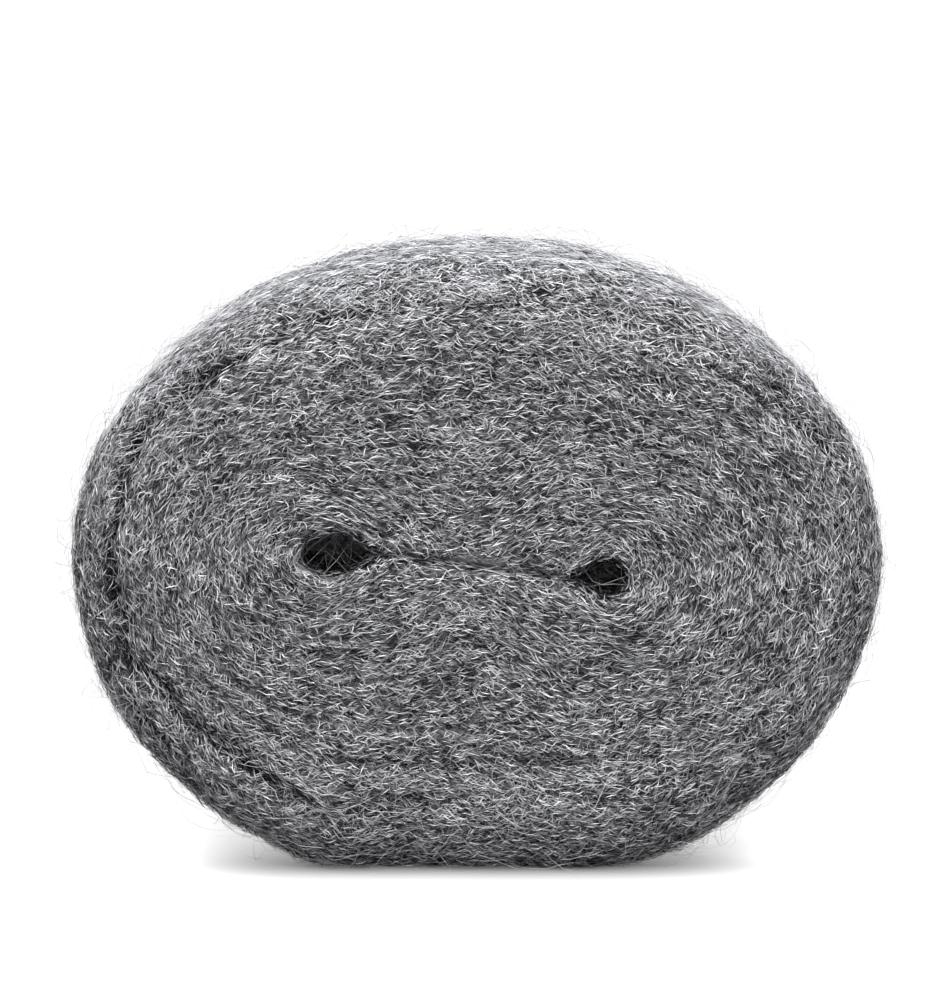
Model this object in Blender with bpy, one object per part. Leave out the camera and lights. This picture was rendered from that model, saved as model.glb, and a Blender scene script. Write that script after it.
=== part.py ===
"""A roll of steel wool: one strip wound flat about a two-pronged fork, which left two eyes and a slit.

The roll lies on its soft underside, its axis along Y, and its ends face -Y and +Y. Its turns lie
tight on each other, so they are one solid, and a spiral groove on each end shows where they meet.
The origin is on the floor, under the middle of the roll. Lengths are in metres.
"""

import math

import bmesh
import bpy

# Outside of the roll. The floor presses the underside flat where its own curve would reach lower.
HALF_WIDTH = 0.065
HEIGHT_ABOVE_AXIS = 0.048
DEPTH_BELOW_AXIS = 0.055
FLOOR_PRESS = 0.004
FLOOR_ROUNDING = 0.002
STRIP_WIDTH = 0.090
AXIS_HEIGHT = DEPTH_BELOW_AXIS - FLOOR_PRESS

# Core: an eye for each prong of the fork, round on its outer side and drawn out to the slit between them.
LEFT_EYE_X = -0.0225
LEFT_EYE_ROUND_LENGTH = 0.0060
LEFT_EYE_DRAWN_LENGTH = 0.0105
LEFT_EYE_HALF_HEIGHT = 0.0038
LEFT_EYE_RISE = 0.0008
RIGHT_EYE_X = 0.0205
RIGHT_EYE_ROUND_LENGTH = 0.0045
RIGHT_EYE_DRAWN_LENGTH = 0.0080
RIGHT_EYE_HALF_HEIGHT = 0.0035
RIGHT_EYE_DROP = 0.0036
SLIT_HALF_HEIGHT = 0.0003

# Winding. A loosened turn is thicker than an even one, the last turn most of all. The strip's inner
# end fans out beside the right eye, and pushes the turns that pass there apart.
TURNS = 11
LOOSENING = 0.30
LOOSENING_POWER = 8
WAIST_PINCH = 0.49
WAIST_PINCH_FULL_LEVEL = 0.082
WAIST_PINCH_END_LEVEL = 0.61
WAIST_HALF_LENGTH = 0.0127
FAN_X = 0.0145
FAN_HALF_LENGTH = 0.0108
FAN_SWELL_ABOVE = 0.0058
FAN_SWELL_BELOW = 0.0013
FAN_END_LEVEL = 0.76

# Ends of the roll: rounded shoulder outside, rounded mouth at the core, and the groove between turns.
SHOULDER_SETBACK = 0.0085
SHOULDER_LEVELS = 0.24
MOUTH_SETBACK = 0.0020
MOUTH_LEVELS = 0.05
GROOVE_DEPTH = 0.0012
LAST_GROOVE_EXTRA_DEPTH = 0.0022
GROOVE_HALF_WIDTH = 0.16  # of a turn
GROOVE_FADE = 0.5  # turns, at the strip's two ends

# Where the last turn stands off the one inside it: (angle, half angle, share of the groove's full depth).
LAST_TURN_OPENINGS = (
    (math.radians(178), math.radians(58), 1.0),
    (math.radians(33), math.radians(16), 0.8),
)
LAST_TURN_CLOSED = 0.25

# Fineness of the solid.
COLUMNS = 56
SIDE_ROWS = 3
CORE_ROWS = 2
WELD_DISTANCE = 1e-6

STEEL_COLOUR = (0.17, 0.17, 0.18, 1.0)
STEEL_ROUGHNESS = 0.5
STEEL_METALLIC = 0.8


def blend(first, second, share):
    """The value that lies this share of the way from first to second."""
    return first + (second - first) * share


def eased(share):
    """A share from 0 to 1 with a soft start and end."""
    share = min(max(share, 0.0), 1.0)
    return share * share * (3 - 2 * share)


def bell(distance, width):
    """1 at no distance, falling off smoothly over this width."""
    return math.exp(-((distance / width) ** 2))


def eye_opening(outward, round_length, drawn_length, half_height):
    """Half height of an eye this far outward from its middle: a quarter ellipse, or drawn out to a point."""
    if outward > 0:
        return half_height * math.sqrt(max(0.0, 1 - (outward / round_length) ** 2))
    return half_height * (1 - eased(-outward / drawn_length))


def core_opening(x):
    """Half height of the hollow core at x: the eyes, and the slit from one eye's middle to the other's."""
    left = eye_opening(
        LEFT_EYE_X - x, LEFT_EYE_ROUND_LENGTH, LEFT_EYE_DRAWN_LENGTH, LEFT_EYE_HALF_HEIGHT
    )
    right = eye_opening(
        x - RIGHT_EYE_X, RIGHT_EYE_ROUND_LENGTH, RIGHT_EYE_DRAWN_LENGTH, RIGHT_EYE_HALF_HEIGHT
    )
    slit = SLIT_HALF_HEIGHT if LEFT_EYE_X < x < RIGHT_EYE_X else 0.0
    return max(left, right, slit)


def core_line(x):
    """Height of the core's middle line over the roll's axis: it runs down from the left eye to the right."""
    share = (x - LEFT_EYE_X) / (RIGHT_EYE_X - LEFT_EYE_X)
    return blend(LEFT_EYE_RISE, -RIGHT_EYE_DROP, eased(share))


def core_point(angle):
    """(x, height over the axis) on the wall of the hollow core."""
    left_end = LEFT_EYE_X - LEFT_EYE_ROUND_LENGTH
    right_end = RIGHT_EYE_X + RIGHT_EYE_ROUND_LENGTH
    x = blend(left_end, right_end, (1 + math.cos(angle)) / 2)
    return x, core_line(x) + math.copysign(core_opening(x), math.sin(angle))


def soft_max(first, second, rounding_height):
    """The larger value, with the corner rounded where the two are within this height of each other."""
    near = max(rounding_height - abs(first - second), 0.0)
    return max(first, second) + near * near / (4 * rounding_height)


def outer_point(angle):
    """(x, height over the axis) on the outside of the roll, flat where it rests on the floor."""
    up = math.sin(angle)
    half_height = HEIGHT_ABOVE_AXIS if up > 0 else DEPTH_BELOW_AXIS
    return HALF_WIDTH * math.cos(angle), soft_max(half_height * up, -AXIS_HEIGHT, FLOOR_ROUNDING)


def waist_pinch(level, x):
    """The share of a turn's height that is lost at the waist: none on the core, most just outside it."""
    start = eased(level / WAIST_PINCH_FULL_LEVEL)
    end = 1 - eased(level / WAIST_PINCH_END_LEVEL)
    return WAIST_PINCH * start * end * bell(x, WAIST_HALF_LENGTH)


def fan_swell(level, x, angle):
    """How far up a turn is pushed where the strip's inner end fans out, or down below the core."""
    swell = blend(-FAN_SWELL_BELOW, FAN_SWELL_ABOVE, eased((1 + math.sin(angle)) / 2))
    start = eased(level / WAIST_PINCH_FULL_LEVEL)
    end = 1 - eased(level / FAN_END_LEVEL)
    return swell * start * end * bell(x - FAN_X, FAN_HALF_LENGTH)


def section_point(level, angle):
    """(x, z) at this level, 0 on the core and 1 on the outside."""
    core_x, core_height = core_point(angle)
    outer_x, outer_height = outer_point(angle)
    x = blend(core_x, outer_x, level)
    middle = core_line(x) * (1 - level)
    height = blend(core_height, outer_height, level)
    pinched = (height - middle) * (1 - waist_pinch(level, x))
    return x, AXIS_HEIGHT + middle + pinched + fan_swell(level, x, angle)


def level_after(turns):
    """The level that the strip has reached after so many turns from the core."""
    share = turns / TURNS
    return blend(share, share**LOOSENING_POWER, LOOSENING)


def rounding(share):
    """Set-back of a rounded edge, from 0 where it starts to 1 at its end, along a quarter circle."""
    share = min(max(share, 0.0), 1.0)
    return 1 - math.sqrt(1 - share * share)


def setback(level):
    """How far an end of the roll lies in from the strip's full width, at this level."""
    shoulder = SHOULDER_SETBACK * rounding(1 - (1 - level) / SHOULDER_LEVELS)
    mouth = MOUTH_SETBACK * rounding(1 - level / MOUTH_LEVELS)
    return shoulder + mouth


def winding_angle(turned):
    """The angle round the roll at this share of a turn. Seen from -Y, the strip winds clockwise."""
    return -math.pi / 2 - 2 * math.pi * turned


def last_turn_opening(angle):
    """How far the last turn stands off at this angle, as a share of the full depth of its groove."""
    opened = LAST_TURN_CLOSED
    for middle, half_angle, share in LAST_TURN_OPENINGS:
        away = (angle - middle + math.pi) % (2 * math.pi) - math.pi
        opened = max(opened, share * bell(away, half_angle))
    return opened


def groove_depth(turns):
    """Depth of the groove between two turns, which fades out at the strip's inner and outer ends."""
    fade = eased(turns / GROOVE_FADE) * eased((TURNS - turns) / GROOVE_FADE)
    loose = (turns / TURNS) ** LOOSENING_POWER
    opened = loose * last_turn_opening(winding_angle(turns % 1))
    return fade * (GROOVE_DEPTH + LAST_GROOVE_EXTRA_DEPTH * opened)


def end_stations(turned):
    """(level, distance in from the strip's edge) from the core out, where the strip has turned this share.

    Each turn has a groove on its inner side and a flat crown. The first and the last turn are cut
    short by the core and by the outside, so they shrink to nothing where the strip begins and ends.
    """
    edges = [0.0, *(turn + turned for turn in range(TURNS)), float(TURNS)]
    stations = []
    for inner, outer in zip(edges, edges[1:]):
        shoulder = min(GROOVE_HALF_WIDTH, (outer - inner) / 3)
        stations.append((level_after(inner), setback(level_after(inner)) + groove_depth(inner)))
        for turns in (inner + shoulder, outer - shoulder):
            stations.append((level_after(turns), setback(level_after(turns))))
    stations.append((1.0, setback(1.0)))
    return stations


def column_stations(turned):
    """(level, y) once round a cut through the roll's wall: front end, outside, back end and core."""
    end = end_stations(turned)
    edge = STRIP_WIDTH / 2
    front = [(level, inset - edge) for level, inset in end]
    back = [(level, edge - inset) for level, inset in reversed(end)]
    outside = [
        (1.0, blend(front[-1][1], back[0][1], row / SIDE_ROWS)) for row in range(1, SIDE_ROWS)
    ]
    core = [(0.0, blend(back[-1][1], front[0][1], row / CORE_ROWS)) for row in range(1, CORE_ROWS)]
    return front + outside + back + core + front[:1]


def wound_point(column, row):
    """The point on the roll's surface for a column of the grid, counted from where the strip ends."""
    turned = column / COLUMNS
    level, y = column_stations(turned)[row]
    x, z = section_point(level, winding_angle(turned))
    return x, y, z


def wound_mesh(name):
    """A flat grid bent round the roll in both directions, and welded where its edges meet."""
    rows = len(column_stations(0.0)) - 1
    bm = bmesh.new()
    bmesh.ops.create_grid(bm, x_segments=COLUMNS, y_segments=rows, size=0.5)
    for vert in bm.verts:
        column = round((vert.co.x + 0.5) * COLUMNS)
        row = round((vert.co.y + 0.5) * rows)
        vert.co = wound_point(column, row)
    bmesh.ops.remove_doubles(bm, verts=bm.verts, dist=WELD_DISTANCE)
    bmesh.ops.recalc_face_normals(bm, faces=bm.faces)
    mesh = bpy.data.meshes.new(name)
    bm.to_mesh(mesh)
    bm.free()
    return mesh


def steel_wool_material():
    material = bpy.data.materials.new("steel_wool")
    material.use_nodes = True
    shader = material.node_tree.nodes["Principled BSDF"]
    shader.inputs["Base Color"].default_value = STEEL_COLOUR
    shader.inputs["Roughness"].default_value = STEEL_ROUGHNESS
    shader.inputs["Metallic"].default_value = STEEL_METALLIC
    return material


def build():
    for obj in list(bpy.data.objects):
        bpy.data.objects.remove(obj, do_unlink=True)
    collection = bpy.data.collections.new("steel_wool_roll")
    bpy.context.scene.collection.children.link(collection)
    mesh = wound_mesh("wool_roll")
    mesh.materials.append(steel_wool_material())
    mesh.shade_smooth()
    roll = bpy.data.objects.new("wool_roll", mesh)
    collection.objects.link(roll)


build()
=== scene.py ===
"""The looks of a steel wool roll: a matted body under thousands of steel fibres that follow its winding.

The roll's section is worked out as its solid's is. A place on the roll is given by the distance
along a cut through its wall, from the middle of the core over the front end, the outside and the
back end to the middle of the core again, and by the angle round the roll. Lengths are in metres.
"""

import math

import bpy
import numpy as np
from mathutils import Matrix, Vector


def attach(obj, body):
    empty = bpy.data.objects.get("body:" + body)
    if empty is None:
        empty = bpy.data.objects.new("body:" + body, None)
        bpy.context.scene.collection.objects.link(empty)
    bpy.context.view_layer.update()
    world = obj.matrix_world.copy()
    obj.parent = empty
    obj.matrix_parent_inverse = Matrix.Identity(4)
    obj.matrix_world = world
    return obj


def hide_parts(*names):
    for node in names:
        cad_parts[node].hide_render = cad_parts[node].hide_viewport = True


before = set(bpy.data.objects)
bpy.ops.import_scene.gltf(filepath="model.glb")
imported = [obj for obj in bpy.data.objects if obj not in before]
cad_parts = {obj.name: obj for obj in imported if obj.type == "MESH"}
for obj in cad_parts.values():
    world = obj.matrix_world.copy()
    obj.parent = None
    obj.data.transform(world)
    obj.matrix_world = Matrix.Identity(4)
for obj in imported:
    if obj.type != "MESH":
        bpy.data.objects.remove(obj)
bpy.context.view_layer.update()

SEED = 7

# The roll's section, as in its solid.
HALF_WIDTH = 0.065
HEIGHT_ABOVE_AXIS = 0.048
DEPTH_BELOW_AXIS = 0.055
FLOOR_PRESS = 0.004
FLOOR_ROUNDING = 0.002
STRIP_WIDTH = 0.090
AXIS_HEIGHT = DEPTH_BELOW_AXIS - FLOOR_PRESS
LEFT_EYE_X = -0.0225
LEFT_EYE_ROUND_LENGTH = 0.0060
LEFT_EYE_DRAWN_LENGTH = 0.0105
LEFT_EYE_HALF_HEIGHT = 0.0038
LEFT_EYE_RISE = 0.0008
RIGHT_EYE_X = 0.0205
RIGHT_EYE_ROUND_LENGTH = 0.0045
RIGHT_EYE_DRAWN_LENGTH = 0.0080
RIGHT_EYE_HALF_HEIGHT = 0.0035
RIGHT_EYE_DROP = 0.0036
SLIT_HALF_HEIGHT = 0.0003
TURNS = 11
LOOSENING = 0.30
LOOSENING_POWER = 8
WAIST_PINCH = 0.49
WAIST_PINCH_FULL_LEVEL = 0.082
WAIST_PINCH_END_LEVEL = 0.61
WAIST_HALF_LENGTH = 0.0127
FAN_X = 0.0145
FAN_HALF_LENGTH = 0.0108
FAN_SWELL_ABOVE = 0.0058
FAN_SWELL_BELOW = 0.0013
FAN_END_LEVEL = 0.76
SHOULDER_SETBACK = 0.0085
SHOULDER_LEVELS = 0.24
MOUTH_SETBACK = 0.0020
MOUTH_LEVELS = 0.05
MEAN_WALL = 0.042

# Relief of the wool: soft lumps, and the grooves where turns meet.
END_LUMP_HEIGHT = 0.00034
SIDE_LUMP_HEIGHT = 0.00018
SIDE_LEVELS = 0.20
TUFT_HEIGHT = 0.00010
STREAK_HEIGHT = 0.00009
STREAK_LOOP = 0.0035  # the winding's length, drawn in to a loop of this radius, so streaks run along it
GROOVE_DEPTH = 0.0007
LAST_GROOVE_DEPTH = 0.0034
LAST_TURN_OPENINGS = (  # where the last turn stands off: (angle, half angle, share of the full depth)
    (math.radians(178), math.radians(58), 1.0),
    (math.radians(33), math.radians(16), 0.8),
)
LAST_TURN_CLOSED = 0.25
FOLDS = (  # creases in the outer turns: (first angle, last angle, level at each, depth)
    (math.radians(190), math.radians(227), 0.957, 0.915, 0.0020),
    (math.radians(31), math.radians(55), 0.832, 0.852, 0.0018),
)
FOLD_HALF_LEVEL = 0.012
GROOVE_HALF_WIDTH = 0.09  # of a turn
LAST_GROOVE_HALF_WIDTH = 0.17  # of a turn
GROOVE_WANDER = 0.10  # of a turn
GROOVE_FADE = 0.5  # turns
GROOVE_STRENGTH = 0.5
GROOVE_STRENGTH_SPREAD = 0.7
GROOVE_STRENGTH_LIMITS = (0.05, 1.2)
LAST_GROOVE_EVENNESS = 0.6
FOLD_WANDER = 0.003  # of a level
FOLD_FADE = 0.3  # of a crease's length
BODY_INSET = 0.0005
FLOOR_CLEARANCE = 0.00005

# The fibre pattern on the matted body.
PATTERN_PITCH = 0.00045
PATTERN_STROKE_LENGTH = 0.0020
PATTERN_WAVER_LENGTH = 0.0016
PATTERN_WAVER = 0.0010
PATTERN_SHARPNESS = 7.0
PATTERN_SEEDS = (0.11, 0.37, 0.73)
FINE_NOISE_SCALE = 900  # cells a metre
STEEL_TINT = (0.985, 0.99, 1.03)

# The matted fibres. A shade is from 0, black, to 1, bright.
CROSSING_SWING = 1.4  # radians, of the few fibres that cross the others
STRAND_DEPTH_POWER = 1.2
STRAND_WAVE = 0.00014
STRAND_TILT = 0.4
STRAND_TWIST = 0.5
STRAND_SHADE = 0.16
STRAND_SHADE_OUTWARD = 0.46  # added for the outermost fibres, and less for deeper ones: painted shade of the fibres over them
STREAK_SHADE = 0.03
GRAIN_SHADE = 0.03
# Painted glints: a fibre's shade wanders along its length, as the glints on a twisted ribbon do.
STRAND_SHADE_DRIFT = 0.08
# Painted shade: the share of its shade that a fibre loses in the deepest groove.
HOLLOW_PAINTED_SHADE_LOSS = 0.6
# Painted shade inside the core's mouths: the share of its shade that a fibre loses there, and where and over
# what length that darkening fades out.
MOUTH_PAINTED_SHADE_LOSS = 0.7
MOUTH_PAINTED_SHADE_START = 0.001
MOUTH_PAINTED_SHADE_LENGTH = 0.003
TIP_WIDTH = 0.15  # of a fibre's full width
UV_MARGIN = 0.12  # of a fibre's cell
SLOWEST_WOUND_RATE = 0.002
SLOWEST_CROSSED_RATE = 0.2

# The loose hairs.
HAIR_SPREAD = 0.7
HAIR_FRIZZ = 0.34
HAIR_PULL = 0.1
HAIR_MEAN_HEIGHT = 0.0016
HAIR_MOST_HEIGHT = 0.0042
HAIR_LOOPED_SHARE = 0.6
HAIR_WAVE = 0.00015
HAIR_LENGTH = (0.007, 0.020)
HAIR_TWIST = 0.3
HAIR_WIDTH = (0.00003, 0.00007)
HAIR_SHADE = 0.8
HAIR_SHADE_SPREAD = 0.15

# The fibres in the core's eyes and in the mouth of its slit.
EYE_ANGLES = ((math.radians(125), math.radians(235)), (math.radians(-55), math.radians(55)))
FRONT_END_SHARE = 0.7
CORE_STRAND_MEAN_DEPTH = 0.006
CORE_STRAND_LEAST_DEPTH = 0.0005
CORE_STRAND_SLANT = 0.003
CORE_STRAND_OVERRUN = 0.15  # of its length, into the wall at each end
CORE_STRAND_BOW = 0.0010
CORE_STRAND_WAVE = 0.00018
CORE_STRAND_WIDTH = (0.00006, 0.00014)
CORE_STRAND_SHADE = 0.2
SLIT_START_X = LEFT_EYE_X + 0.010
SLIT_END_X = RIGHT_EYE_X - 0.0085
SLIT_STRAND_SPREAD = 0.22
SLIT_STRAND_LENGTH = (0.003, 0.007)
SLIT_STRAND_RISE = 0.0004
SLIT_STRAND_DEPTH = 0.0012
SLIT_STRAND_WAVE = 0.00014
SLIT_STRAND_WIDTH = (0.00014, 0.00026)
SLIT_STRAND_SHADE = 0.4
STRAIGHT_TILT = 0.6
STRAIGHT_TWIST = 0.3
STRAIGHT_SHADE_SPREAD = 0.16

# How far the fibres of one part of the surface run on over its neighbours.
CORE_OVERLAP = 0.012
NAP_OVERLAP = 0.010
HAIR_OVERLAP = 0.014


def blend(first, second, share):
    return first + (second - first) * share


def eased(share):
    """A share from 0 to 1 with a soft start and end."""
    share = np.clip(share, 0.0, 1.0)
    return share * share * (3 - 2 * share)


def bell(distance, width):
    """1 at no distance, falling off smoothly over this width."""
    return np.exp(-((distance / width) ** 2))


def unit(vectors):
    return vectors / np.maximum(np.linalg.norm(vectors, axis=-1, keepdims=True), 1e-12)


def eye_opening(outward, round_length, drawn_length, half_height):
    """Half height of an eye this far outward from its middle: a quarter ellipse, or drawn out to a point."""
    rounded = half_height * np.sqrt(np.maximum(0.0, 1 - (outward / round_length) ** 2))
    drawn = half_height * (1 - eased(-outward / drawn_length))
    return np.where(outward > 0, rounded, drawn)


def core_opening(x):
    """Half height of the hollow core at x."""
    left = eye_opening(
        LEFT_EYE_X - x, LEFT_EYE_ROUND_LENGTH, LEFT_EYE_DRAWN_LENGTH, LEFT_EYE_HALF_HEIGHT
    )
    right = eye_opening(
        x - RIGHT_EYE_X, RIGHT_EYE_ROUND_LENGTH, RIGHT_EYE_DRAWN_LENGTH, RIGHT_EYE_HALF_HEIGHT
    )
    slit = np.where((LEFT_EYE_X < x) & (x < RIGHT_EYE_X), SLIT_HALF_HEIGHT, 0.0)
    return np.maximum(np.maximum(left, right), slit)


def core_line(x):
    """Height of the core's middle line over the roll's axis."""
    share = (x - LEFT_EYE_X) / (RIGHT_EYE_X - LEFT_EYE_X)
    return blend(LEFT_EYE_RISE, -RIGHT_EYE_DROP, eased(share))


def core_point(angle):
    """(x, height over the axis) on the wall of the hollow core."""
    left_end = LEFT_EYE_X - LEFT_EYE_ROUND_LENGTH
    right_end = RIGHT_EYE_X + RIGHT_EYE_ROUND_LENGTH
    x = blend(left_end, right_end, (1 + np.cos(angle)) / 2)
    return x, core_line(x) + np.copysign(core_opening(x), np.sin(angle))


def soft_max(first, second, rounding_height):
    """The larger value, with the corner rounded where the two are within this height of each other."""
    near = np.maximum(rounding_height - np.abs(first - second), 0.0)
    return np.maximum(first, second) + near * near / (4 * rounding_height)


def outer_point(angle):
    """(x, height over the axis) on the outside of the roll, flat where it rests on the floor."""
    up = np.sin(angle)
    half_height = np.where(up > 0, HEIGHT_ABOVE_AXIS, DEPTH_BELOW_AXIS)
    return HALF_WIDTH * np.cos(angle), soft_max(half_height * up, -AXIS_HEIGHT, FLOOR_ROUNDING)


def waist_pinch(level, x):
    """The share of a turn's height that is lost at the waist: none on the core, most just outside it."""
    start = eased(level / WAIST_PINCH_FULL_LEVEL)
    end = 1 - eased(level / WAIST_PINCH_END_LEVEL)
    return WAIST_PINCH * start * end * bell(x, WAIST_HALF_LENGTH)


def fan_swell(level, x, angle):
    """How far up a turn is pushed where the strip's inner end fans out, or down below the core."""
    swell = blend(-FAN_SWELL_BELOW, FAN_SWELL_ABOVE, eased((1 + np.sin(angle)) / 2))
    start = eased(level / WAIST_PINCH_FULL_LEVEL)
    end = 1 - eased(level / FAN_END_LEVEL)
    return swell * start * end * bell(x - FAN_X, FAN_HALF_LENGTH)


def section_point(level, angle):
    """(x, z) at this level, 0 on the core and 1 on the outside."""
    core_x, core_height = core_point(angle)
    outer_x, outer_height = outer_point(angle)
    x = blend(core_x, outer_x, level)
    middle = core_line(x) * (1 - level)
    height = blend(core_height, outer_height, level)
    pinched = (height - middle) * (1 - waist_pinch(level, x))
    return x, AXIS_HEIGHT + middle + pinched + fan_swell(level, x, angle)


def level_after(turns):
    """The level that the strip has reached after so many turns from the core."""
    share = turns / TURNS
    return blend(share, share**LOOSENING_POWER, LOOSENING)


def turns_at(level):
    """The turns that the strip has made at this level."""
    turns = np.linspace(0, TURNS, 2001)
    return np.interp(level, level_after(turns), turns)


def rounding(share):
    """Set-back of a rounded edge, from 0 where it starts to 1 at its end, along a quarter circle."""
    share = np.clip(share, 0.0, 1.0)
    return 1 - np.sqrt(1 - share * share)


def setback(level):
    """How far an end of the roll lies in from the strip's full width, at this level."""
    shoulder = SHOULDER_SETBACK * rounding(1 - (1 - level) / SHOULDER_LEVELS)
    mouth = MOUTH_SETBACK * rounding(1 - level / MOUTH_LEVELS)
    return shoulder + mouth


def profile_rows(end_rows, side_rows, core_rows):
    """(level, y) of rows once round a cut through the roll's wall. The last row is the first again."""
    edge = STRIP_WIDTH / 2
    levels = (1 - np.cos(np.linspace(0, np.pi, end_rows + 1))) / 2
    front = setback(levels) - edge
    side = np.linspace(front[-1], -front[-1], side_rows + 1)[1:-1]
    core = np.linspace(0, front[0], core_rows + 1)[:-1]
    y = np.concatenate([core, front, side, -front[::-1], -core[::-1]])
    level = np.concatenate(
        [np.zeros(core_rows), levels, np.ones(side_rows - 1), levels[::-1], np.zeros(core_rows)]
    )
    return level, y


def distances(level, y):
    """The distance along the cut at each row, at the wall's mean thickness."""
    steps = np.hypot(MEAN_WALL * np.diff(level), np.diff(y))
    return np.concatenate([[0.0], np.cumsum(steps)])


PROFILE_LEVEL, PROFILE_Y = profile_rows(end_rows=600, side_rows=60, core_rows=40)
PROFILE_ALONG = distances(PROFILE_LEVEL, PROFILE_Y)
PROFILE_LENGTH = PROFILE_ALONG[-1]
MOUTH_ALONG = STRIP_WIDTH / 2 - MOUTH_SETBACK
SIDE_ALONG = PROFILE_LENGTH / 2 - (STRIP_WIDTH / 2 - SHOULDER_SETBACK)


def level_at(along):
    return np.interp(along % PROFILE_LENGTH, PROFILE_ALONG, PROFILE_LEVEL)


def even_point(along, angle):
    """The point on the roll's even surface, with no relief."""
    y = np.interp(along % PROFILE_LENGTH, PROFILE_ALONG, PROFILE_Y)
    x, z = section_point(level_at(along), angle)
    return np.stack([x, y, z], -1)


def surface_at(along, angle):
    """The even surface's point, its rates of change along and across the winding, and its outward normal."""
    angle_step = 0.002
    along_step = 0.0001
    point = even_point(along, angle)
    wound = even_point(along, angle + angle_step) - even_point(along, angle - angle_step)
    crossed = even_point(along + along_step, angle) - even_point(along - along_step, angle)
    normal = unit(np.cross(crossed, wound))
    return point, wound / (2 * angle_step), crossed / (2 * along_step), normal


class Ripples:
    """Smooth noise about 0 of about unit strength, made of random plane waves."""

    def __init__(self, rng, shortest, longest, count=14):
        lengths = np.exp(rng.uniform(math.log(shortest), math.log(longest), count))
        self.vectors = 2 * np.pi * unit(rng.normal(size=(count, 3))) / lengths[:, None]
        self.phases = rng.uniform(0, 2 * np.pi, count)
        self.strength = math.sqrt(2 / count)

    def at(self, points):
        return np.sin(points @ self.vectors.T + self.phases).sum(-1) * self.strength


rng = np.random.default_rng(SEED)
lumps = Ripples(rng, 0.012, 0.045)
tufts = Ripples(rng, 0.0025, 0.006)
wander = Ripples(rng, 0.008, 0.030)
groove_strength = Ripples(rng, 0.010, 0.025)
streaks = Ripples(rng, 0.0011, 0.0035, count=20)
grain = Ripples(rng, 0.004, 0.012)


def streak_at(along, angle):
    """Noise that changes fast from turn to turn and slowly along each turn."""
    place = [STREAK_LOOP * np.cos(angle), STREAK_LOOP * np.sin(angle), np.broadcast_to(along, angle.shape)]
    return streaks.at(np.stack(place, -1))


def folds_at(level, angle, point):
    """Depth of the short creases in the outer turns."""
    depth = np.zeros(level.shape)
    for first, last, first_level, last_level, full_depth in FOLDS:
        share = ((angle - first) % (2 * np.pi)) / (last - first)
        off = level - blend(first_level, last_level, share) + FOLD_WANDER * wander.at(point)
        fade = eased(share / FOLD_FADE) * eased((1 - share) / FOLD_FADE)
        depth = np.maximum(depth, full_depth * fade * bell(off, FOLD_HALF_LEVEL))
    return depth


def groove_at(along, angle, point):
    """(how near the middle of a groove, from 0 to 1, and that groove's depth)."""
    turned = ((-np.pi / 2 - angle) / (2 * np.pi)) % 1.0
    level = level_at(along)
    wound = turns_at(level) - turned + GROOVE_WANDER * wander.at(point)
    groove = np.round(wound)
    last = groove == TURNS - 1
    near = bell(wound - groove, np.where(last, LAST_GROOVE_HALF_WIDTH, GROOVE_HALF_WIDTH))
    reached = groove + turned
    fade = eased(reached / GROOVE_FADE) * eased((TURNS - reached) / GROOVE_FADE)
    strength = GROOVE_STRENGTH + GROOVE_STRENGTH_SPREAD * groove_strength.at(point)
    strength = np.clip(strength, *GROOVE_STRENGTH_LIMITS)
    opened = LAST_TURN_CLOSED
    for middle, half_angle, share in LAST_TURN_OPENINGS:
        away = (angle - middle + np.pi) % (2 * np.pi) - np.pi
        opened = np.maximum(opened, share * bell(away, half_angle))
    evened = LAST_GROOVE_EVENNESS + (1 - LAST_GROOVE_EVENNESS) * strength
    last_depth = LAST_GROOVE_DEPTH * opened * evened
    depth = np.where(last, last_depth, GROOVE_DEPTH * strength)
    depth = depth * fade * (groove >= 1)
    fold = folds_at(level, angle, point)
    folded = fold > near * depth
    return np.where(folded, 1.0, near), np.where(folded, fold, depth)


def hollow_at(along, angle, point):
    """How deep in a groove a place is, for the painted shade there: 0 outside the grooves and 1 in the
    deepest.
    """
    near, depth = groove_at(along, angle, point)
    return np.clip(near * depth / LAST_GROOVE_DEPTH, 0, 1)


def relief(along, angle, point):
    """How far the wool stands proud of the even surface."""
    near, depth = groove_at(along, angle, point)
    on_side = eased(1 - (1 - level_at(along)) / SIDE_LEVELS)
    soft = blend(END_LUMP_HEIGHT, SIDE_LUMP_HEIGHT, on_side) * lumps.at(point)
    soft = soft + TUFT_HEIGHT * tufts.at(point)
    return soft + STREAK_HEIGHT * streak_at(along, angle) - near * depth


def new_mesh(name, points, faces, face_sides, uv, attributes):
    """A mesh from arrays of points and of face corners, with a UV map and named values for its points."""
    mesh = bpy.data.meshes.new(name)
    mesh.vertices.add(len(points))
    mesh.vertices.foreach_set("co", points.astype(np.float32).ravel())
    mesh.loops.add(faces.size)
    mesh.loops.foreach_set("vertex_index", faces.astype(np.int32).ravel())
    mesh.polygons.add(faces.size // face_sides)
    mesh.polygons.foreach_set("loop_start", np.arange(0, faces.size, face_sides, dtype=np.int32))
    for attribute, values in attributes.items():
        made = mesh.attributes.new(attribute, "FLOAT", "POINT")
        made.data.foreach_set("value", values.astype(np.float32).ravel())
    layer = mesh.uv_layers.new(name="OFBake")
    layer.uv.foreach_set("vector", uv.astype(np.float32).ravel())
    mesh.update(calc_edges=True)
    mesh.validate()
    return mesh


def add_piece(name, mesh, material):
    """A piece of the roll that rides with it, with this material."""
    mesh.materials.append(material)
    piece = bpy.data.objects.new(name, mesh)
    bpy.context.scene.collection.objects.link(piece)
    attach(piece, "root")
    return piece


def new_material(name):
    """A node material with its tree and its shader."""
    material = bpy.data.materials.new(name)
    material.use_nodes = True
    tree = material.node_tree
    return material, tree, tree.nodes["Principled BSDF"]


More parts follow.
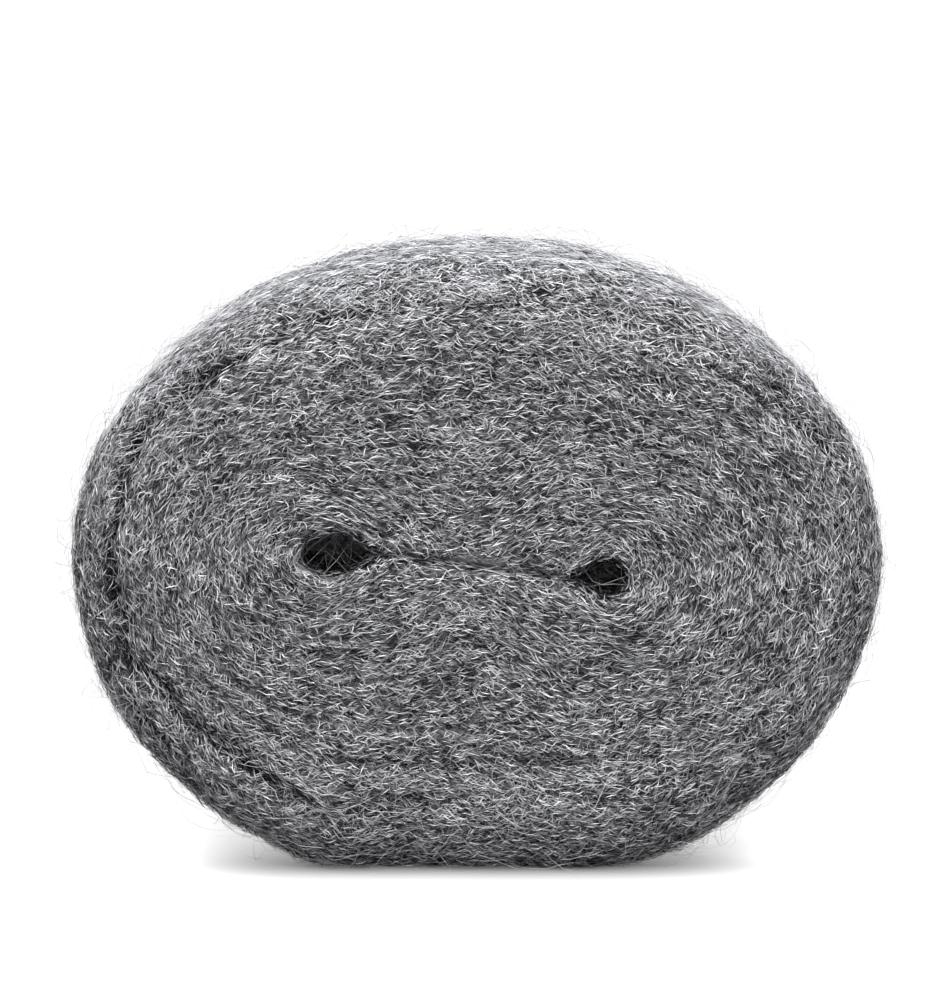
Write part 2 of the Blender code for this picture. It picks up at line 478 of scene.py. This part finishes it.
def colour_ramp(tree, stops):
    """A colour ramp with these (position, grey) stops. The grey is faintly blue, as steel is."""
    ramp = tree.nodes.new("ShaderNodeValToRGB")
    elements = ramp.color_ramp.elements
    while len(elements) < len(stops):
        elements.new(0.5)
    for element, (position, grey) in zip(elements, stops):
        element.position = position
        element.color = (*(grey * part for part in STEEL_TINT), 1)
    return ramp


def fibre_material():
    """Drawn steel: each fibre has its own shade, partly its own tone and partly painted shade and glints,
    and is polished in some places and dull in others.
    """
    material, tree, shader = new_material("steel_fibre")
    shade = tree.nodes.new("ShaderNodeAttribute")
    shade.attribute_name = "shade"
    ramp = colour_ramp(tree, [(0.0, 0.003), (0.2, 0.028), (0.45, 0.47), (0.7, 0.60), (1.0, 0.64)])
    tree.links.new(shade.outputs["Fac"], ramp.inputs["Fac"])
    tree.links.new(ramp.outputs["Color"], shader.inputs["Base Color"])
    noise = tree.nodes.new("ShaderNodeTexNoise")
    noise.inputs["Scale"].default_value = FINE_NOISE_SCALE
    polish = tree.nodes.new("ShaderNodeMapRange")
    polish.inputs["To Min"].default_value = 0.50
    polish.inputs["To Max"].default_value = 0.80
    tree.links.new(noise.outputs["Fac"], polish.inputs["Value"])
    tree.links.new(polish.outputs["Result"], shader.inputs["Roughness"])
    shader.inputs["Metallic"].default_value = 0.6
    shader.inputs["Specular IOR Level"].default_value = 0.1
    return material


def math_node(tree, operation, first, second=None):
    """A math node on two values, each a socket or a number, and its output."""
    node = tree.nodes.new("ShaderNodeMath")
    node.operation = operation
    for socket, value in zip(node.inputs, (first, second)):
        if hasattr(value, "links"):
            tree.links.new(value, socket)
        elif value is not None:
            socket.default_value = value
    return node.outputs[0]


def fibre_lines(tree, place, crossed, seed):
    """Lines of fibre along the winding that waver and cross: 1 on a line and 0 between the lines."""
    moved = tree.nodes.new("ShaderNodeVectorMath")
    moved.operation = "ADD"
    moved.inputs[1].default_value = (seed, 2 * seed, 3 * seed)
    tree.links.new(place, moved.inputs[0])
    waver = tree.nodes.new("ShaderNodeTexNoise")
    waver.inputs["Scale"].default_value = 1 / PATTERN_WAVER_LENGTH
    waver.inputs["Detail"].default_value = 1
    tree.links.new(moved.outputs[0], waver.inputs["Vector"])
    sideways = math_node(tree, "MULTIPLY_ADD", waver.outputs["Fac"], PATTERN_WAVER)
    tree.links.new(crossed, sideways.node.inputs[2])
    lines = tree.nodes.new("ShaderNodeTexNoise")
    lines.noise_dimensions = "4D"
    lines.inputs["Scale"].default_value = 1 / PATTERN_STROKE_LENGTH
    lines.inputs["Detail"].default_value = 1
    tree.links.new(moved.outputs[0], lines.inputs["Vector"])
    tree.links.new(math_node(tree, "DIVIDE", sideways, PATTERN_PITCH), lines.inputs["W"])
    off_line = math_node(tree, "ABSOLUTE", math_node(tree, "SUBTRACT", lines.outputs["Fac"], 0.5))
    return math_node(tree, "SUBTRACT", 1.0, math_node(tree, "MULTIPLY", off_line, PATTERN_SHARPNESS))


def matted_material():
    """The wool under the loose fibres: a dense pattern of fine lines of fibre over dark gaps."""
    material, tree, shader = new_material("matted_steel")
    crossed = tree.nodes.new("ShaderNodeAttribute")
    crossed.attribute_name = "crossed"
    texture = tree.nodes.new("ShaderNodeTexCoord")
    place = texture.outputs["Object"]
    layers = [fibre_lines(tree, place, crossed.outputs["Fac"], seed) for seed in PATTERN_SEEDS]
    top = layers[0]
    for layer in layers[1:]:
        top = math_node(tree, "MAXIMUM", top, layer)
    tone = tree.nodes.new("ShaderNodeTexNoise")
    tone.inputs["Scale"].default_value = FINE_NOISE_SCALE
    tone.inputs["Detail"].default_value = 2
    tree.links.new(place, tone.inputs["Vector"])
    hollow = tree.nodes.new("ShaderNodeAttribute")
    hollow.attribute_name = "hollow"
    lit = math_node(tree, "MULTIPLY", top, math_node(tree, "ADD", tone.outputs["Fac"], 0.5))
    # Painted shade: the body is darker the deeper it lies in a groove.
    lit = math_node(tree, "MULTIPLY", lit, math_node(tree, "SUBTRACT", 1.0, hollow.outputs["Fac"]))
    ramp = colour_ramp(tree, [(0.0, 0.003), (0.5, 0.02), (0.8, 0.15), (1.0, 0.35)])
    tree.links.new(lit, ramp.inputs["Fac"])
    tree.links.new(ramp.outputs["Color"], shader.inputs["Base Color"])
    bump = tree.nodes.new("ShaderNodeBump")
    bump.inputs["Distance"].default_value = 0.0002
    bump.inputs["Strength"].default_value = 0.6
    tree.links.new(top, bump.inputs["Height"])
    tree.links.new(bump.outputs["Normal"], shader.inputs["Normal"])
    shader.inputs["Roughness"].default_value = 0.5
    shader.inputs["Metallic"].default_value = 0.5
    shader.inputs["Specular IOR Level"].default_value = 0.1
    return material


def on_floor(points):
    """The same points, with none under the floor."""
    points[..., 2] = np.maximum(points[..., 2], FLOOR_CLEARANCE)
    return points


def body_mesh(columns=240):
    """The matted body: a closed tube of rows round the cut and columns round the roll."""
    level, y = profile_rows(end_rows=54, side_rows=34, core_rows=8)
    along = distances(level, y)[:-1]
    rows = len(along)
    angle = np.linspace(0, 2 * np.pi, columns, endpoint=False)
    along, angle = np.meshgrid(along, angle, indexing="ij")
    point, _, _, normal = surface_at(along, angle)
    inside = eased(level_at(along) / MOUTH_LEVELS)
    proud = (relief(along, angle, point) - BODY_INSET) * inside
    points = on_floor(point + proud[..., None] * normal).reshape(-1, 3)
    row, column = np.meshgrid(np.arange(rows), np.arange(columns), indexing="ij")
    corners = [(row, column), (row, column + 1), (row + 1, column + 1), (row + 1, column)]
    faces = np.stack([(r % rows) * columns + c % columns for r, c in corners], -1)
    uv = np.stack([np.stack([c / columns, r / rows], -1) for r, c in corners], -2)
    # hollow carries the painted shade of the grooves to the body's material.
    values = {"crossed": along, "hollow": hollow_at(along, angle, point)}
    return new_mesh("wool_body", points, faces, 4, uv, values)


def scatter(rng, count, start, end, bare=0.0):
    """(along, angle) of this many places, spread evenly over the surface between two distances on the cut.

    A share of the places that fall in a groove are moved out of it.
    """
    along_cells, angle_cells = 500, 480
    along_edges = np.linspace(start, end, along_cells + 1)
    angle_edges = np.linspace(0, 2 * np.pi, angle_cells + 1)
    along = (along_edges[1:] + along_edges[:-1]) / 2
    angle = (angle_edges[1:] + angle_edges[:-1]) / 2
    along, angle = np.meshgrid(along, angle, indexing="ij")
    point, wound, crossed, _ = surface_at(along, angle)
    area = np.linalg.norm(np.cross(wound, crossed), axis=-1)
    near, depth = groove_at(along, angle, point)
    area = area * (1 - bare * near * np.clip(depth / LAST_GROOVE_DEPTH, 0, 1))
    cells = rng.choice(area.size, count, p=area.ravel() / area.sum())
    along = along.ravel()[cells] + rng.uniform(-0.5, 0.5, count) * (end - start) / along_cells
    angle = angle.ravel()[cells] + rng.uniform(-0.5, 0.5, count) * 2 * np.pi / angle_cells
    return along, angle


def drift(rng, count, stations, step, pull=0.25):
    """Random paths that wander off 0 and are pulled back to it: (count, stations)."""
    values = np.zeros((count, stations))
    values[:, 0] = rng.normal(size=count) * step
    for station in range(1, stations):
        change = rng.normal(size=count) * step
        values[:, station] = values[:, station - 1] * (1 - pull) + change
    return values


def grow(along, angle, heading, length, lift):
    """Fibres over the surface from their starting places: points and surface normals (count, stations, 3).

    The heading (count, stations) is measured from the winding's direction, and lift is how far each
    station stands off the wool's surface.
    """
    count, stations = heading.shape
    points = np.empty((count, stations, 3))
    normals = np.empty((count, stations, 3))
    step = length / (stations - 1)
    along = along.copy()
    angle = angle.copy()
    for station in range(stations):
        point, wound, crossed, normal = surface_at(along, angle)
        proud = relief(along, angle, point) + lift[:, station]
        points[:, station] = point + proud[:, None] * normal
        normals[:, station] = normal
        wound_rate = np.maximum(np.linalg.norm(wound, axis=-1), SLOWEST_WOUND_RATE)
        crossed_rate = np.maximum(np.linalg.norm(crossed, axis=-1), SLOWEST_CROSSED_RATE)
        angle += step * np.cos(heading[:, station]) / wound_rate
        along += step * np.sin(heading[:, station]) / crossed_rate
    return on_floor(points), normals


def ribbon_mesh(name, points, normals, half_width, tilt, shade):
    """Flat steel ribbons along these paths, tapered to both ends. tilt turns each off the surface."""
    count, stations, _ = points.shape
    tangents = unit(np.gradient(points, axis=1))
    side = unit(np.cross(tangents, normals))
    out = np.cross(side, tangents)
    facing = side * np.cos(tilt)[..., None] + out * np.sin(tilt)[..., None]
    share = np.linspace(0, 1, stations)
    taper = np.clip(np.sin(np.pi * share), 0, 1) ** 0.5 * (1 - TIP_WIDTH) + TIP_WIDTH
    reach = facing * (half_width[:, None] * taper)[..., None]
    corners = on_floor(np.stack([points - reach, points + reach], axis=2))
    first = (np.arange(count)[:, None] * stations + np.arange(stations - 1)) * 2
    faces = np.stack([first, first + 1, first + 3, first + 2], -1)
    across = math.ceil(math.sqrt(count))
    number = np.arange(count)[:, None]
    along_cell = UV_MARGIN + (1 - 2 * UV_MARGIN) * share
    u = (number % across + np.stack([along_cell[:-1], along_cell[1:]])[:, None]) / across
    low = (number // across + UV_MARGIN) / across + 0 * u[0]
    high = (number // across + 1 - UV_MARGIN) / across + 0 * u[0]
    uv = np.stack(
        [np.stack(pair, -1) for pair in ((u[0], low), (u[0], high), (u[1], high), (u[1], low))], -2
    )
    shades = np.repeat(shade[..., None], 2, axis=-1)
    return new_mesh(name, corners.reshape(-1, 3), faces, 4, uv, {"shade": shades})


def add_strands(name, rng, count, start, end, material, *, stations=3, length=(0.0010, 0.0026),
                width=(0.00010, 0.00018), lift=(-0.0004, 0.0004), spread=0.52, frizz=0.28,
                crossing=0.04, bare=0.35, brighter=0.0, contrast=0.34):
    """A piece of matted fibres over the surface between two distances along the cut.

    A heading's spread and frizz are in radians, crossing is the share of fibres that swing across the
    others, bare is the share kept out of the grooves, and lift is how far they stand off the wool.
    """
    along, angle = scatter(rng, count, start, end, bare)
    heading = rng.normal(size=count) * spread + np.where(rng.random(count) < 0.5, 0, np.pi)
    swing = np.where(rng.random(count) < crossing, rng.uniform(-CROSSING_SWING, CROSSING_SWING, count), 0)
    heading += swing
    heading = heading[:, None] + drift(rng, count, stations, frizz)
    outward = rng.random(count) ** STRAND_DEPTH_POWER
    base = blend(lift[0], lift[1], outward)
    lifts = base[:, None] + drift(rng, count, stations, STRAND_WAVE)
    streak = streak_at(along, angle)
    hollow = hollow_at(along, angle, even_point(along, angle))
    # Painted shade: 1 inside the core's mouths, fading to 0 outward.
    mouth = 1 - eased((along - MOUTH_ALONG + MOUTH_PAINTED_SHADE_START) / MOUTH_PAINTED_SHADE_LENGTH)
    points, normals = grow(along, angle, heading, rng.uniform(*length, count), lifts)
    tilt = rng.normal(size=count)[:, None] * STRAND_TILT + drift(rng, count, stations, STRAND_TWIST)
    half_width = rng.uniform(*width, count) / 2
    # Painted shade: fibres lying deeper in the mat are darker.
    shade = STRAND_SHADE + brighter + STRAND_SHADE_OUTWARD * outward + contrast * rng.normal(size=count)
    shade = shade + STREAK_SHADE * streak
    # Painted shade: fibres are darker in the grooves and inside the core's mouths.
    shade = shade * (1 - HOLLOW_PAINTED_SHADE_LOSS * hollow) * (1 - MOUTH_PAINTED_SHADE_LOSS * mouth)
    shade = shade[:, None] + GRAIN_SHADE * grain.at(points)
    # Painted glints along each fibre.
    shade = shade + drift(rng, count, stations, STRAND_SHADE_DRIFT)
    mesh = ribbon_mesh(name, points, normals, half_width, tilt, np.clip(shade, 0, 1))
    return add_piece(name, mesh, material)


def add_fuzz(name, rng, count, start, end, material, stations=9):
    """Loose hairs that stand off the roll in low loops, or by one end."""
    along, angle = scatter(rng, count, start, end)
    heading = rng.normal(size=count) * HAIR_SPREAD + np.where(rng.random(count) < 0.5, 0, np.pi)
    heading = heading[:, None] + drift(rng, count, stations, HAIR_FRIZZ, pull=HAIR_PULL)
    share = np.linspace(0, 1, stations)
    height = np.minimum(rng.exponential(HAIR_MEAN_HEIGHT, count), HAIR_MOST_HEIGHT)[:, None]
    loop = np.sin(np.pi * share)
    free_end = share**1.5
    looped = rng.random(count)[:, None] < HAIR_LOOPED_SHARE
    lifts = height * np.where(looped, loop, free_end) + drift(rng, count, stations, HAIR_WAVE)
    points, normals = grow(along, angle, heading, rng.uniform(*HAIR_LENGTH, count), lifts)
    tilt = rng.normal(size=count)[:, None] + drift(rng, count, stations, HAIR_TWIST)
    half_width = rng.uniform(*HAIR_WIDTH, count) / 2
    shade = np.clip(HAIR_SHADE + HAIR_SHADE_SPREAD * rng.normal(size=count), 0, 1)
    shade = shade[:, None] + np.zeros(stations)
    mesh = ribbon_mesh(name, points, normals, half_width, tilt, shade)
    return add_piece(name, mesh, material)


def add_core_strands(name, rng, count, material, stations=7):
    """Stray fibres that cross the two eyes of the core, from wall to wall, a little inside their mouths."""
    eye = rng.integers(0, 2, count)
    low, high = np.array(EYE_ANGLES)[eye].T
    middle = (low + high) / 2
    first = rng.uniform(low, middle)
    second = rng.uniform(middle, high)
    mouth = STRIP_WIDTH / 2 - MOUTH_SETBACK
    end_side = np.where(rng.random(count) < FRONT_END_SHARE, -1, 1)
    depth = rng.exponential(CORE_STRAND_MEAN_DEPTH, count) + CORE_STRAND_LEAST_DEPTH
    y_first = end_side * (mouth - depth)
    y_second = y_first + rng.normal(size=count) * CORE_STRAND_SLANT
    x_first, z_first = core_point(first)
    x_second, z_second = core_point(second)
    start = np.stack([x_first, y_first, AXIS_HEIGHT + z_first], -1)
    finish = np.stack([x_second, y_second, AXIS_HEIGHT + z_second], -1)
    share = np.linspace(-CORE_STRAND_OVERRUN, 1 + CORE_STRAND_OVERRUN, stations)[None, :, None]
    bow = rng.normal(size=(count, 1, 3)) * CORE_STRAND_BOW
    points = start[:, None] * (1 - share) + finish[:, None] * share + bow * 4 * share * (1 - share)
    points += np.stack([drift(rng, count, stations, CORE_STRAND_WAVE) for _ in range(3)], -1)
    return add_straight_strands(name, rng, points, CORE_STRAND_WIDTH, CORE_STRAND_SHADE, material)


def add_slit_strands(name, rng, count, material, stations=6):
    """Fibres that lie in the mouth of the slit between the eyes."""
    middle = rng.uniform(SLIT_START_X, SLIT_END_X, count)
    heading = rng.normal(size=count) * SLIT_STRAND_SPREAD
    length = rng.uniform(*SLIT_STRAND_LENGTH, count)
    share = np.linspace(-0.5, 0.5, stations)
    x = middle[:, None] + share * (length * np.cos(heading))[:, None]
    z = core_line(x) + share * (length * np.sin(heading))[:, None]
    z = z + rng.normal(size=(count, 1)) * SLIT_STRAND_RISE
    end_side = np.where(rng.random(count) < FRONT_END_SHARE, -1, 1)[:, None]
    depth = rng.uniform(-SLIT_STRAND_DEPTH, SLIT_STRAND_DEPTH, (count, 1))
    y = end_side * (STRIP_WIDTH / 2 - MOUTH_SETBACK + depth)
    points = np.stack([x, np.broadcast_to(y, x.shape), AXIS_HEIGHT + z], -1)
    points += np.stack([drift(rng, count, stations, SLIT_STRAND_WAVE) for _ in range(3)], -1)
    return add_straight_strands(name, rng, points, SLIT_STRAND_WIDTH, SLIT_STRAND_SHADE, material)


def add_straight_strands(name, rng, points, width, shade, material):
    """A piece of fibres along these paths, whose flat sides face the ends of the roll."""
    count, stations, _ = points.shape
    normals = np.broadcast_to(np.array([0.0, -1.0, 0.0]), points.shape)
    tilt = rng.normal(size=count)[:, None] * STRAIGHT_TILT + drift(rng, count, stations, STRAIGHT_TWIST)
    shades = np.clip(shade + STRAIGHT_SHADE_SPREAD * rng.normal(size=count), 0, 1)
    shades = shades[:, None] + np.zeros(stations)
    mesh = ribbon_mesh(name, points, normals, rng.uniform(*width, count) / 2, tilt, shades)
    return add_piece(name, mesh, material)


def build_roll():
    """The body and all its fibres, from the front end over the outside to the back."""
    matted = matted_material()
    fibre = fibre_material()
    body = add_piece("wool_body", body_mesh(), matted)
    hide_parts("wool_roll")
    front_start = MOUTH_ALONG - CORE_OVERLAP
    front_end = SIDE_ALONG
    back_start = PROFILE_LENGTH - SIDE_ALONG
    back_end = PROFILE_LENGTH - front_start
    for number in range(3):
        add_strands(f"front_strands_{number + 1}", rng, 40000, front_start, front_end, fibre)
    add_strands("front_stray_strands", rng, 500, front_start, front_end, fibre, stations=9,
                length=(0.004, 0.009), width=(0.00008, 0.00014), lift=(0.0002, 0.0007), spread=0.5,
                crossing=0.15, bare=0.0, brighter=-0.1, contrast=0.2)
    for number in range(2):
        add_strands(f"back_strands_{number + 1}", rng, 15000, back_start, back_end, fibre,
                    length=(0.0025, 0.0050), width=(0.00020, 0.00032))
    middle = PROFILE_LENGTH / 2
    for number, (start, end) in enumerate([(front_end, middle), (middle, back_start)]):
        add_strands(f"side_strands_{number + 1}", rng, 22000, start, end, fibre,
                    length=(0.0022, 0.0050), width=(0.00014, 0.00026), spread=0.40, brighter=-0.05,
                    contrast=0.2)
    add_strands("nap", rng, 10000, front_end - NAP_OVERLAP, back_start + NAP_OVERLAP, fibre,
                length=(0.0015, 0.0040), width=(0.00004, 0.00008), lift=(0.0004, 0.0011), spread=0.8,
                frizz=0.6, bare=0.0, brighter=0.05, contrast=0.15)
    add_core_strands("core_strands", rng, 200, fibre)
    add_slit_strands("slit_strands", rng, 400, fibre)
    add_fuzz("loose_hairs", rng, 5000, front_end - HAIR_OVERLAP, back_start + HAIR_OVERLAP, fibre)


# The camera and the light.
PHOTO_SIZE = (949, 1000)
PHOTO_SCALE = 0.00016  # metres a pixel, at the roll's front end
ROLL_MIDDLE_PIXEL = (477, 560)
CAMERA_DISTANCE = 0.80
CAMERA_ELEVATION = math.radians(5.5)
LAMP_PLACE = (0, -0.42, 0.75)
LAMP_TARGET = (0, 0, 0.05)
LAMP_SIZE = 0.9
LAMP_POWER = 15.0
SURROUND_LIGHT = 0.86  # the white surround's strength as light on the roll
FLOOR_HALF_SIZE = 3.0
FLOOR_GREY = 0.05
FLOOR_MIRRORED = 0.4  # the floor's glow as the steel reflects it
SHADOW_REACH = 0.010
SHADOW_AT_BACK = 0.35  # the shadow's strength under the roll's middle and behind it


def add_camera():
    """A camera that frames the roll's front end as the photograph does."""
    data = bpy.data.cameras.new("camera")
    data.lens = data.sensor_width * CAMERA_DISTANCE / (PHOTO_SIZE[1] * PHOTO_SCALE)
    right = (PHOTO_SIZE[0] / 2 - ROLL_MIDDLE_PIXEL[0]) * PHOTO_SCALE
    up = (ROLL_MIDDLE_PIXEL[1] - PHOTO_SIZE[1] / 2) * PHOTO_SCALE
    aim = Vector((right, -STRIP_WIDTH / 2, AXIS_HEIGHT + up))
    back = Vector((0, -math.cos(CAMERA_ELEVATION), math.sin(CAMERA_ELEVATION)))
    camera = bpy.data.objects.new("camera", data)
    camera.location = aim + back * CAMERA_DISTANCE
    camera.rotation_euler = (-back).to_track_quat("-Z", "Y").to_euler()
    bpy.context.scene.collection.objects.link(camera)
    bpy.context.scene.camera = camera


def add_area_light(name, location, target, size, power):
    data = bpy.data.lights.new(name, "AREA")
    data.shape = "SQUARE"
    data.size = size
    data.energy = power
    light = bpy.data.objects.new(name, data)
    light.location = location
    light.rotation_euler = (Vector(target) - Vector(location)).to_track_quat("-Z", "Y").to_euler()
    bpy.context.scene.collection.objects.link(light)


def seen_directly(tree, mirrored=1.0):
    """1 for rays from the camera or a window, this value for mirrored rays, and 0 for light on a surface."""
    path = tree.nodes.new("ShaderNodeLightPath")
    glossy = math_node(tree, "MULTIPLY", path.outputs["Is Glossy Ray"], mirrored)
    either = math_node(tree, "MAXIMUM", path.outputs["Is Camera Ray"], glossy)
    return math_node(tree, "MAXIMUM", either, path.outputs["Is Transmission Ray"])


def add_floor():
    """A floor that looks white, but for the shadow close to the roll. The shadow is strongest in front."""
    half = FLOOR_HALF_SIZE
    mesh = bpy.data.meshes.new("floor")
    corners = [(-half, -half, 0), (half, -half, 0), (half, half, 0), (-half, half, 0)]
    mesh.from_pydata(corners, [], [(0, 1, 2, 3)])
    material, tree, shader = new_material("white_floor")
    shader.inputs["Base Color"].default_value = (FLOOR_GREY, FLOOR_GREY, FLOOR_GREY, 1)
    shader.inputs["Roughness"].default_value = 0.9
    shader.inputs["Specular IOR Level"].default_value = 0.1
    shader.inputs["Emission Color"].default_value = (1, 1, 1, 1)
    open_sky = tree.nodes.new("ShaderNodeAmbientOcclusion")
    open_sky.inputs["Distance"].default_value = SHADOW_REACH
    open_sky.samples = 4
    texture = tree.nodes.new("ShaderNodeTexCoord")
    place = tree.nodes.new("ShaderNodeSeparateXYZ")
    tree.links.new(texture.outputs["Object"], place.inputs[0])
    kept = tree.nodes.new("ShaderNodeMapRange")
    kept.inputs["From Min"].default_value = -STRIP_WIDTH / 2
    kept.inputs["From Max"].default_value = 0.0
    kept.inputs["To Min"].default_value = 1.0
    kept.inputs["To Max"].default_value = SHADOW_AT_BACK
    tree.links.new(place.outputs["Y"], kept.inputs["Value"])
    closed = math_node(tree, "SUBTRACT", 1.0, open_sky.outputs["AO"])
    shadow = math_node(tree, "MULTIPLY", closed, kept.outputs["Result"])
    lit = math_node(tree, "SUBTRACT", 1.0, shadow)
    glow = math_node(tree, "MULTIPLY", seen_directly(tree, FLOOR_MIRRORED), lit)
    tree.links.new(glow, shader.inputs["Emission Strength"])
    mesh.materials.append(material)
    floor = bpy.data.objects.new("floor", mesh)
    bpy.context.scene.collection.objects.link(floor)


def light_world():
    """A white surround: full where it is seen directly, and softer as light on the roll."""
    world = bpy.data.worlds.new("white_surround")
    bpy.context.scene.world = world
    world.use_nodes = True
    tree = world.node_tree
    background = tree.nodes["Background"]
    background.inputs["Color"].default_value = (1, 1, 1, 1)
    strength = tree.nodes.new("ShaderNodeMapRange")
    strength.inputs["To Min"].default_value = SURROUND_LIGHT
    strength.inputs["To Max"].default_value = 1.0
    tree.links.new(seen_directly(tree), strength.inputs["Value"])
    tree.links.new(strength.outputs["Result"], background.inputs["Strength"])


build_roll()
add_floor()
light_world()
add_area_light("overhead", LAMP_PLACE, LAMP_TARGET, LAMP_SIZE, LAMP_POWER)
add_camera()
bpy.context.scene.view_settings.view_transform = "Standard"
